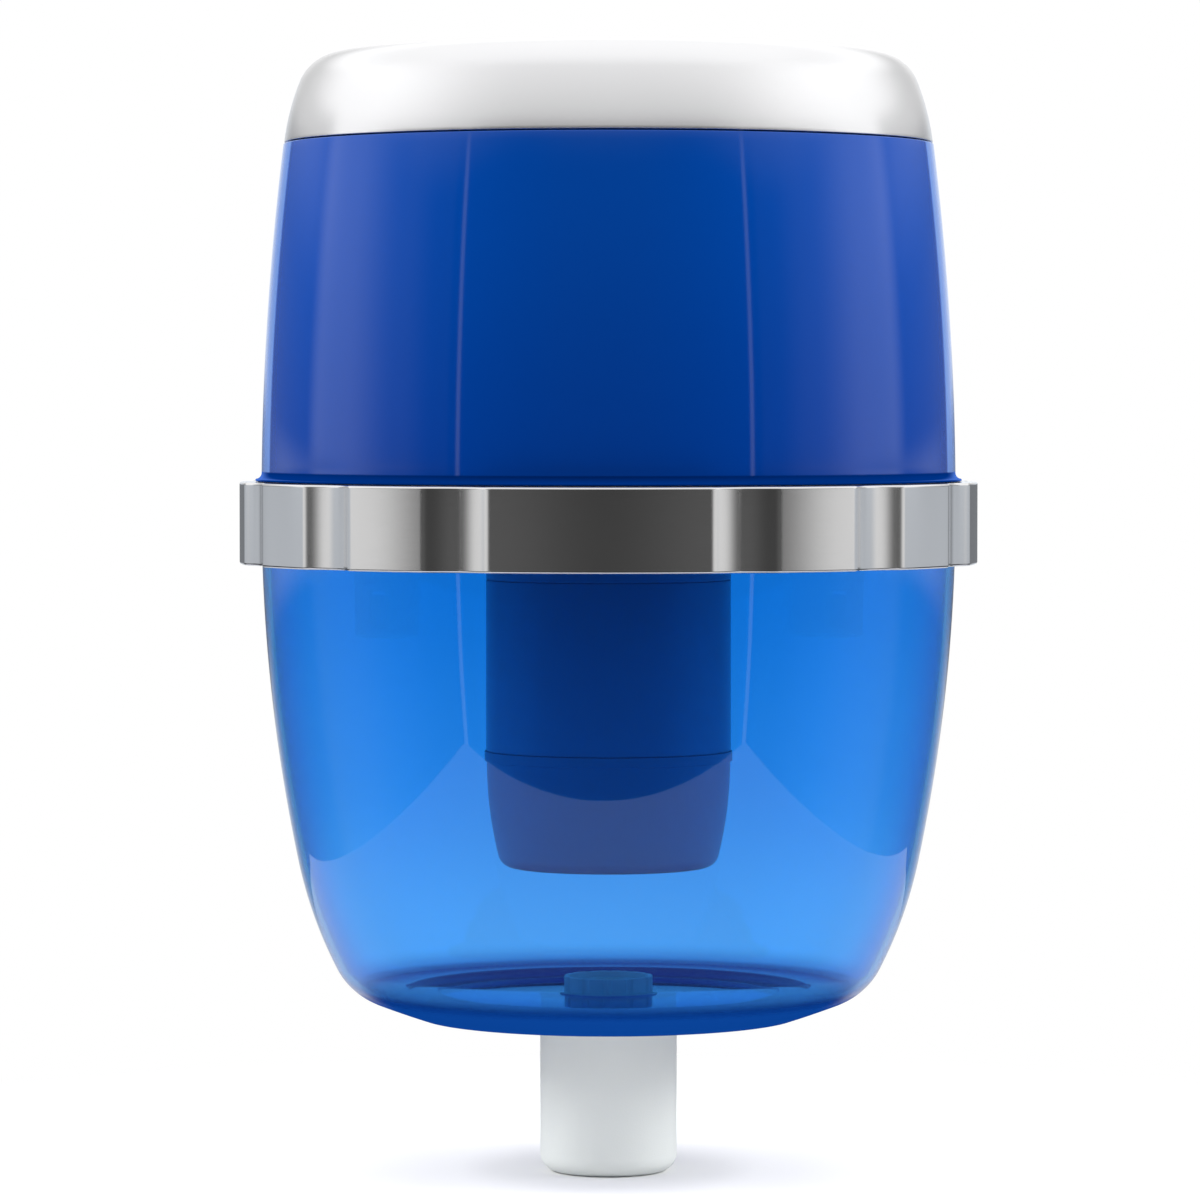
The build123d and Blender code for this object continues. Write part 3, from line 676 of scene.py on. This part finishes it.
# %% Node trees
class Nodes:
    """A node tree that is filled by one method."""

    def __init__(self, tree):
        self.tree = tree

    def add(self, kind, settings, sockets):
        node = self.tree.nodes.new(kind)
        for name, value in settings.items():
            setattr(node, name, value)
        for key, value in sockets.items():
            self.feed(node.inputs[key], value)
        return node

    def feed(self, socket, value):
        if isinstance(value, Number):
            value = value.socket
        if isinstance(value, bpy.types.NodeSocket):
            self.tree.links.new(value, socket)
        else:
            socket.default_value = value

    def split(self, vector):
        """The three numbers of a vector."""
        parts = self.add("ShaderNodeSeparateXYZ", {}, {0: vector})
        return [Number(self, output) for output in parts.outputs]

    def joined(self, x, y, z):
        """A vector from three numbers."""
        return self.add("ShaderNodeCombineXYZ", {}, {0: x, 1: y, 2: z}).outputs[0]

    def mixed(self, factor, low, high):
        """A colour between two others; the Mix node keeps its colour sockets at places 6 and 7."""
        return self.add("ShaderNodeMix", {"data_type": "RGBA"}, {0: factor, 6: low, 7: high}).outputs[2]

    def blended(self, factor, low, high):
        """A shader between two others."""
        sockets = {0: factor, 1: low.outputs[0], 2: high.outputs[0]}
        return self.add("ShaderNodeMixShader", {}, sockets)

    def emission(self, color, strength):
        """A shader that gives light."""
        return self.add("ShaderNodeEmission", {}, {"Color": color, "Strength": strength})

    def from_axis(self, x, y):
        """The distance from the upright axis."""
        return x.maths("SQRT", x * x + y * y)


# %% Finishes
class Finish(Nodes):
    """A material on a Principled shader, with the patterns that the finishes share."""

    def __init__(self, name, constants):
        self.material = bpy.data.materials.new(name)
        self.material.use_nodes = True
        super().__init__(self.material.node_tree)
        self.shader = self.tree.nodes["Principled BSDF"]
        self.output = self.tree.nodes["Material Output"]
        self.place = self.add("ShaderNodeTexCoord", {}, {}).outputs["Object"]
        for socket, value in constants.items():
            self.shader.inputs[socket].default_value = value

    def set(self, socket, value):
        self.feed(self.shader.inputs[socket], value)

    def show(self, shader):
        """Let the material show a shader."""
        self.feed(self.output.inputs["Surface"], shader.outputs[0])

    def second(self, sockets):
        """One more Principled shader, to blend with the first."""
        return self.add("ShaderNodeBsdfPrincipled", {}, sockets)

    def slant(self):
        """0 where one looks straight at the surface, and 1 where one looks along it."""
        weight = self.add("ShaderNodeLayerWeight", {}, {"Blend": 0.5})
        return Number(self, weight.outputs["Facing"])

    def stretched(self, scale):
        """The place on the piece, with each axis scaled."""
        return self.add("ShaderNodeMapping", {}, {"Vector": self.place, "Scale": scale}).outputs[0]

    def noise(self, scale, detail, vector=None):
        """Soft cloudy noise from 0 to 1, with scale in features per metre."""
        sockets = {"Vector": vector or self.place, "Scale": scale, "Detail": detail}
        return Number(self, self.add("ShaderNodeTexNoise", {}, sockets).outputs["Fac"])

    def cells(self, scale, output):
        """Voronoi cells, with scale in cells per metre."""
        node = self.add("ShaderNodeTexVoronoi", {"feature": "F1"}, {"Vector": self.place, "Scale": scale})
        return node.outputs[output]

    def bump(self, height, strength, depth):
        """Bump of a depth in millimetres."""
        sockets = {"Height": height, "Strength": strength, "Distance": depth * MM}
        self.set("Normal", self.add("ShaderNodeBump", {}, sockets).outputs[0])

    def paint(self, *pieces):
        """Give the finish to pieces or to nodes of the frame."""
        for piece in pieces:
            if not piece.material_slots:
                piece.data.materials.append(self.material)
            for slot in piece.material_slots:
                slot.material = self.material
        print(self.material.name, "on", [piece.name for piece in pieces])


# %% [markdown]
# ### Clear blue plastic
# The lower tank is tinted all the way through, so the colour belongs to the light that passes: a
# Principled shader with full transmission does that with real refraction in the wall. The tint is a little
# denser near the band, and a faint waviness keeps the reflections from looking like a mirror. The foot
# is so thick that it looks solid, as does the seat over the spout. A second, opaque shader takes over on
# the foot's outside, below a line in the half section that rises with the radius, and on that seat. Its
# weak emission is a painted glow, for the light that travels inside the plastic and comes out at the foot.

# %% Clear blue
FOOT_LINE_R = 70.8
FOOT_LINE_RISE = 0.276
FOOT_LINE_BLUR = 0.5
FOOT_FADE_Z = (4.4, 11)
SPOUT_SEAT_R = (27, 29)
SPOUT_SEAT_Z = (1.6, 4.2)

clear_blue = Finish("clear_blue", {"Transmission Weight": 1.0, "IOR": 1.49, "Roughness": 0.015})
x, y, height = clear_blue.split(clear_blue.place)
from_axis = clear_blue.from_axis(x, y)
cloud = clear_blue.noise(9.0, 2.0) * 0.2
tint = clear_blue.mixed(height.ramp(5 * MM, 16 * MM), rgb(30, 96, 176), rgb(136, 206, 254))
tint = clear_blue.mixed(height.ramp(15 * MM, 105 * MM) * 0.9 + cloud * 0.5, tint, rgb(92, 181, 242))
tint = clear_blue.mixed(height.ramp(90 * MM, 185 * MM) * 0.9 + cloud * 0.5, tint, rgb(58, 170, 236))
tint = clear_blue.mixed(clear_blue.slant().ramp(0.5, 0.95) * 0.85, tint, rgb(16, 88, 215))
clear_blue.set("Base Color", tint)
clear_blue.bump(clear_blue.noise(28.0, 1.0), 0.05, 0.4)
# An opaque dark blue for the thick foot and the seat over the spout, with a painted glow from its emission
painted_glow_foot = clear_blue.second(
    {
        "Base Color": rgb(5, 34, 78),
        "Roughness": 0.4,
        "Specular IOR Level": 0.0,
        "Emission Color": rgb(5, 58, 138),
        "Emission Strength": 0.85,
    }
)
over_spout = 1 - from_axis.ramp(SPOUT_SEAT_R[0] * MM, SPOUT_SEAT_R[1] * MM)
seat = over_spout * (1 - height.ramp(SPOUT_SEAT_Z[0] * MM, SPOUT_SEAT_Z[1] * MM))
foot_line = (from_axis - FOOT_LINE_R * MM) * FOOT_LINE_RISE
outside = (foot_line - height).ramp(-FOOT_LINE_BLUR * MM, FOOT_LINE_BLUR * MM)
# Where the plastic is thick and the painted glow takes over
thick_and_painted_glow = seat.largest(outside * (1 - height.ramp(FOOT_FADE_Z[0] * MM, FOOT_FADE_Z[1] * MM)))
clear_blue.show(clear_blue.blended(thick_and_painted_glow, clear_blue.shader, painted_glow_foot))
clear_blue.paint(lower_shell)

# %% [markdown]
# ### Deep blue plastic
# The upper tank lets hardly any light through. Only at its outline, where one looks along the wall
# and not across it, does it glow lighter: a second, paler shader mixed in there by Layer Weight paints that
# glow.
# The drip lip lies in the band's shade, so it gets a third, dull shader that mirrors nothing and paints that
# shade.

# %% Deep blue
LIP_SHADE_LOW_Z = 215.2
LIP_SHADE_TOP_Z = 215.9

deep_blue = Finish("deep_blue", {"IOR": 1.5, "Roughness": 0.05})
height = deep_blue.split(deep_blue.place)[2]
cloud = deep_blue.noise(7.0, 2.0)
shade = height.ramp(205 * MM, 345 * MM) * 0.8 + cloud * 0.2
deep_blue.set("Base Color", deep_blue.mixed(shade, rgb(0, 52, 136), rgb(0, 66, 156)))
deep_blue.bump(deep_blue.noise(26.0, 1.0), 0.04, 0.4)
# Painted edge glow: a paler blue that stands in for light passing along the wall at the outline
edge_glow_painted = deep_blue.second({"Base Color": rgb(92, 132, 205), "IOR": 1.5, "Roughness": 0.05})
slant = deep_blue.slant()
side = deep_blue.blended(slant.ramp(0.775, 0.80), deep_blue.shader, edge_glow_painted)
# Painted shade on the drip lip, with a painted edge glow where one looks along it
lip_painted_shade_and_glow = deep_blue.mixed(slant.ramp(0.78, 0.95), rgb(0, 37, 102), rgb(56, 92, 168))
lip = deep_blue.second({"Base Color": lip_painted_shade_and_glow, "Roughness": 0.8, "Specular IOR Level": 0.0})
above_lip = height.ramp(LIP_SHADE_LOW_Z * MM, LIP_SHADE_TOP_Z * MM)
deep_blue.show(deep_blue.blended(above_lip, lip, side))
deep_blue.paint(upper_shell)

# %% [markdown]
# ### Silver lid and brushed band
# The lid is plastic with a satin metal coat, and the band is brushed steel. Brushing leaves fine lines
# round the band, so its noise is laid on the strip's own length and height.

# %% Silver lid
silver_lid = Finish("silver_lid", {"Metallic": 0.85})
grain = silver_lid.noise(2600.0, 2.0)
cloud = silver_lid.noise(14.0, 2.0)
silver_lid.set("Base Color", silver_lid.mixed(cloud, rgb(236, 236, 238), rgb(243, 243, 244)))
silver_lid.set("Roughness", cloud * 0.04 + grain * 0.05 + 0.16)
silver_lid.bump(grain, 0.04, 0.02)
silver_lid.paint(lid_shell)

# %% Brushed band
LINES_ALONG = 60
LINES_ACROSS = 5200

steel = Finish("brushed_band", {"Metallic": 1.0})
x, y, z = steel.split(steel.place)
along = x.maths("ARCTAN2", x, y * -1) * (BAND_R * MM)
lines = steel.noise(1.0, 4.0, steel.joined(along * LINES_ALONG, 0.0, z * LINES_ACROSS))
cloud = steel.noise(30.0, 2.0)
steel.set("Base Color", steel.mixed(lines * 0.7 + cloud * 0.3, rgb(230, 230, 231), rgb(243, 242, 241)))
steel.set("Roughness", lines * 0.08 + 0.08)
steel.bump(lines, 0.08, 0.02)
steel.paint(band)

# %% [markdown]
# ### Matte and moulded plastics
# The spout has a fine moulded texture that one would feel as a matte skin. The nut, the cartridge and the
# small fittings are plain moulded plastics that differ in colour and gloss. The cartridge and the nut stand
# inside the tinted tank, which darkens them and in the render keeps the lamps' light off them, so their
# colours are painted lighter than their own.


# %% Moulded plastics
def moulded(name, low, high, roughness, grain_scale, grain_depth):
    """A moulded plastic: a slow drift of colour, and a grain of a depth in millimetres."""
    finish = Finish(name, {"IOR": 1.5})
    drift = finish.noise(22.0, 3.0)
    grain = finish.noise(grain_scale, 2.0)
    finish.set("Base Color", finish.mixed(drift, low, high))
    finish.set("Roughness", grain * 0.12 + (roughness - 0.06))
    finish.bump(grain, 0.35, grain_depth)
    return finish


nodes = frame["nodes"]
moulded("white_spout", rgb(225, 229, 226), rgb(235, 238, 234), 0.62, 1500.0, 0.12).paint(spout)
# Painted light: the nut's grey is lighter than its own, for light that the tank keeps off it
moulded("grey_nut", rgb(214, 218, 226), rgb(224, 228, 234), 0.42, 1200.0, 0.05).paint(
    nut, nodes["nut_washer"]
)
# Painted light: the cartridge's and cup's blues are lighter than their own, for lamp light that the tank
# keeps off them
moulded("cartridge_blue", rgb(2, 138, 190), rgb(4, 146, 198), 0.30, 900.0, 0.03).paint(tube, cap)
moulded("cup_grey", rgb(48, 130, 182), rgb(60, 140, 190), 0.38, 900.0, 0.04).paint(cup)
moulded("white_plastic", rgb(226, 228, 230), rgb(236, 237, 238), 0.32, 1100.0, 0.03).paint(
    *[nodes[name] for name in ("lid_liner", "dome_base", "vent_pipe", "vent_cap", "float_cage")]
)
moulded("float_plastic", rgb(228, 223, 208), rgb(238, 234, 222), 0.28, 1000.0, 0.02).paint(
    nodes["float_ball"]
)
moulded("screen_plastic", rgb(196, 198, 202), rgb(208, 210, 212), 0.45, 1300.0, 0.05).paint(
    nodes["outlet_screen"]
)
SEALS = ["tank_seal", "lid_seal", "dome_seal", "cap_seal", "vent_seal", "spout_seal", "probe_grommet"]
moulded("silicone", rgb(206, 208, 210), rgb(220, 222, 222), 0.55, 800.0, 0.03).paint(
    *[nodes[name] for name in SEALS]
)

# %% [markdown]
# ### Ceramic, felt and granules
# The dome is unglazed ceramic, chalky and slightly mottled. The pads in the cartridge are felt, whose
# fibres come from noise that is stretched along one axis. The beds between them are loose grains, for
# which Voronoi cells give both the grains' colours and their bumps.

# %% Ceramic and felt
FIBRES = (2600, 700, 2600)

ceramic = Finish("ceramic", {"IOR": 1.5, "Roughness": 0.9})
mottle = ceramic.noise(60.0, 4.0)
chalk = ceramic.noise(1800.0, 3.0)
ceramic.set("Base Color", ceramic.mixed(mottle, rgb(222, 216, 204), rgb(238, 234, 226)))
ceramic.bump(chalk * 0.7 + mottle * 0.3, 0.4, 0.15)
ceramic.paint(nodes["ceramic_dome"])

felt = Finish("felt", {"Roughness": 0.95})
fibre = felt.noise(1.0, 4.0, felt.stretched(FIBRES))
felt.set("Base Color", felt.mixed(fibre, rgb(222, 222, 216), rgb(242, 242, 238)))
felt.bump(fibre, 0.5, 0.3)
felt.paint(nodes["filter_pads"])


# %% Granules
def granules(name, low, high, grain_mm, roughness):
    """Loose grains of a size in millimetres, each with its own shade."""
    finish = Finish(name, {"Roughness": roughness})
    per_metre = 1 / (grain_mm * MM)
    shade = finish.split(finish.cells(per_metre, "Color"))[0]
    finish.set("Base Color", finish.mixed(shade, low, high))
    finish.bump(1 - Number(finish, finish.cells(per_metre, "Distance")), 0.8, grain_mm / 3)
    finish.paint(nodes[f"{name}_bed"])


granules("carbon", rgb(14, 14, 15), rgb(44, 44, 46), 1.6, 0.6)
granules("zeolite", rgb(168, 156, 130), rgb(212, 204, 186), 2.6, 0.8)
granules("silica", rgb(200, 188, 164), rgb(236, 228, 212), 0.9, 0.8)
granules("mineral", rgb(96, 84, 72), rgb(176, 160, 142), 5.0, 0.6)

# %% [markdown]
# ## The studio
# The photograph was taken with a large white panel on each side of the camera, a bright table and a dark
# room behind the camera. Shiny things show that room: the panels give the pale stripes on the tanks
# and the light lands of the band, and the dark room gives the deep front. So the world is drawn
# by direction: by azimuth, counted in degrees from the front to either side, and by elevation.

# %% Directions
DEGREES = 180 / pi
scene = bpy.context.scene
scene.view_settings.view_transform = "Standard"
scene.world = bpy.data.worlds.new("studio")
scene.world.use_nodes = True
room = Nodes(scene.world.node_tree)
x, y, z = room.split(room.add("ShaderNodeTexCoord", {}, {}).outputs["Generated"])
azimuth = abs(x.maths("ARCTAN2", x, y * -1)) * DEGREES
elevation = z.maths("ARCSINE", z) * DEGREES
print("world", scene.world.name)

# %% [markdown]
# ### What shiny pieces mirror
# Upright walls mirror what lies low: the panel with a bright slit at its inner edge, and the light behind
# the bottle. The band mirrors the thin layer that is level with it. The lid's shoulder mirrors what is
# overhead, which dips towards the front, brightens at the sides and darkens where the lid's two ends
# mirror it. The layers are drawn one by one and stacked from the lowest to the highest.

# %% Low layers
PANEL_IN = 49.0
PANEL_OUT = 113.0
slit = azimuth.ramp(PANEL_IN - 0.9, PANEL_IN - 0.4) * (1 - azimuth.ramp(PANEL_IN + 0.4, PANEL_IN + 0.9))
glow = azimuth.ramp(51.5, 53.5) * 0.06 + azimuth.ramp(58.0, 72.0) * 0.20 + azimuth.ramp(72.0, 96.0) * 0.66
panel = glow * (1 - azimuth.ramp(PANEL_OUT - 4, PANEL_OUT + 5) * 0.82) + slit * 0.9
behind = azimuth.ramp(150.0, 172.0) * 0.7 + azimuth.ramp(172.0, 177.0) * 0.25
below = panel * 0.25 + slit * 0.6 + behind + 0.03
level = azimuth.ramp(0.0, 36.0) * 0.05 + azimuth.ramp(47.0, 78.0) * 0.66 + 0.065
level = level - azimuth.ramp(84.0, 102.0) * 0.20 - azimuth.ramp(128.0, 152.0) * 0.36
flank = azimuth.ramp(100.0, 124.0) * (1 - azimuth.ramp(146.0, 168.0)) * elevation.ramp(4.5, 9.5)
above = panel + behind + flank * 0.37 + 0.02
print("panels from", PANEL_IN, "to", PANEL_OUT, "degrees")

# %% Overhead, and the layers stacked
overhead = elevation.ramp(20.0, 56.0, False) * 0.17 + 0.82
dip = (1 - elevation.ramp(15.0, 75.0, False)) * (1 - azimuth.ramp(20.0, 90.0)) * 0.26
ends = azimuth.ramp(114.0, 152.0) * 0.64 - azimuth.ramp(166.0, 176.0) * 0.56
ends = ends * (1 - elevation.ramp(18.0, 30.0))
sides = azimuth.ramp(35.0, 100.0) * (1 - elevation.ramp(28.0, 48.0)) * 0.28
overhead = overhead * (sides - ends - dip + 1)
light = below + (level - below) * elevation.ramp(-4.6, -2.8)
light = light + (above - light) * elevation.ramp(-0.2, 1.0)
light = light + (overhead - light) * (elevation + azimuth.ramp(25.0, 65.0) * 3.5).ramp(15.0, 20.5)
print("layers drawn with", len(room.tree.nodes), "nodes")

# %% [markdown]
# ### What the camera sees
# Seen directly, the room is a plain white backdrop. Seen through the tank it is white behind the bottle,
# mixed with the dark room towards the front, and brighter at the sides, from where light floods the plastic.

# %% Backdrop
path = room.add("ShaderNodeLightPath", {}, {})
transmitted = Number(room, path.outputs["Is Transmission Ray"])
through = transmitted * (azimuth.ramp(20.0, 90.0) * 0.65 + 0.35)
flood = transmitted * azimuth.ramp(55.0, 85.0) * (1 - azimuth.ramp(100.0, 130.0)) * 0.6 + 1
seen = through.largest(Number(room, path.outputs["Is Camera Ray"]))
background = room.tree.nodes["Background"]
cool = azimuth.ramp(84.0, 106.0) * (1 - elevation.ramp(3.0, 9.0)) * (1 - seen)
room.feed(background.inputs["Color"], room.mixed(cool, (1, 1, 1, 1), (0.88, 0.93, 1.0, 1)))
room.feed(background.inputs["Strength"], (seen + (1 - seen) * light) * flood)
print("backdrop drawn with", len(room.tree.nodes), "nodes")

# %% [markdown]
# ### Table and lamps
# The table is a sheet of pale paper that fades to the white backdrop away from the bottle and keeps the
# shadow near it. Mirrored in the tank's underside it shows a painted blue shadow, and seen through the tank
# a painted glow.

# %% Table
TABLE = (0.515, 0.517)
PAINTED_SHADOW_REACH = (0.15, 0.24)
FADE_REACH = (0.10, 0.40)

bpy.ops.object.select_all(action="DESELECT")
bpy.ops.mesh.primitive_plane_add(size=2.0, location=(0, 0, 0), enter_editmode=True)
bpy.ops.transform.resize(value=(TABLE[0], TABLE[1], 1))
bpy.ops.transform.translate(value=(0, 0, SPOUT_LOW_Z * MM))
bpy.ops.object.mode_set(mode="OBJECT")
table = bpy.context.object
table.name = "table"
paper = Finish("table_paper", {"Roughness": 0.9, "Base Color": rgb(240, 240, 240)})
x, y = paper.split(paper.place)[:2]
distance = paper.from_axis(x, y)
ray = paper.add("ShaderNodeLightPath", {}, {})
through = Number(paper, ray.outputs["Is Transmission Ray"])
seen = through.largest(Number(paper, ray.outputs["Is Camera Ray"]))
mirrored = Number(paper, ray.outputs["Is Glossy Ray"]) * (1 - seen)
# Painted shadow: glossy rays see a dim blue emission in place of the table, strongest near the bottle
near = 1 - distance.ramp(*PAINTED_SHADOW_REACH) * 0.4
painted_shadow = paper.blended(mirrored * near, paper.shader, paper.emission(rgb(20, 60, 130), 0.6))
# Painted glow: rays through the tank see a pale blue emission in place of the table and its shadow
painted_glow_through = paper.blended(through, painted_shadow, paper.emission((0.50, 0.60, 0.72, 1), 1.0))
white = paper.emission((1, 1, 1, 1), 1.0)
paper.show(paper.blended(seen * distance.ramp(*FADE_REACH), painted_glow_through, white))
paper.paint(table)


# %% Lamps
MIDDLE_Z = 0.16


def softbox(name, azimuth, elevation, distance, size, watts):
    """A large square lamp that looks at the middle of the bottle; it lights but isn't mirrored."""
    lamp = bpy.data.lights.new(name, "AREA")
    lamp.energy = watts
    lamp.size = size
    holder = bpy.data.objects.new(name, lamp)
    scene.collection.objects.link(holder)
    flat = distance * cos(radians(elevation))
    holder.location = (
        flat * sin(radians(azimuth)),
        -flat * cos(radians(azimuth)),
        MIDDLE_Z + distance * sin(radians(elevation)),
    )
    aim = Vector((0, 0, MIDDLE_Z)) - holder.location
    holder.rotation_euler = aim.to_track_quat("-Z", "Y").to_euler()
    holder.visible_camera = False
    holder.visible_glossy = False
    holder.visible_transmission = False
    print(name, watts, "watts")


softbox("front_fill", azimuth=0, elevation=12, distance=2.4, size=1.6, watts=7)
softbox("left_key", azimuth=-82, elevation=36, distance=1.8, size=1.2, watts=36)
softbox("right_key", azimuth=82, elevation=36, distance=1.8, size=1.2, watts=36)

# %% [markdown]
# ### The camera
# The photograph looks at the bottle from its front, a little above the band, from a couple of metres away:
# the rims are thin ellipses that flatten out at about the height of the upper tank's middle.

# %% Camera
CAMERA_DISTANCE = 2.28
CAMERA_HEIGHT = 0.246
CAMERA_AZIMUTH = radians(1.25)
AIM_HEIGHT = 0.164
AXIS_OFFSET = 0.0034
FRAME_WIDTH = 0.480
SENSOR = 36.0
camera_data = bpy.data.cameras.new("camera")
camera_data.sensor_width = SENSOR
camera_data.lens = SENSOR * CAMERA_DISTANCE / FRAME_WIDTH
camera = bpy.data.objects.new("camera", camera_data)
scene.collection.objects.link(camera)
camera.location = (
    CAMERA_DISTANCE * sin(CAMERA_AZIMUTH),
    -CAMERA_DISTANCE * cos(CAMERA_AZIMUTH),
    CAMERA_HEIGHT,
)
right = Vector((cos(CAMERA_AZIMUTH), sin(CAMERA_AZIMUTH), 0))
aim = Vector((0, 0, AIM_HEIGHT)) - right * AXIS_OFFSET
camera.rotation_euler = (aim - camera.location).to_track_quat("-Z", "Y").to_euler()
scene.camera = camera
print("lens", round(camera_data.lens, 1))
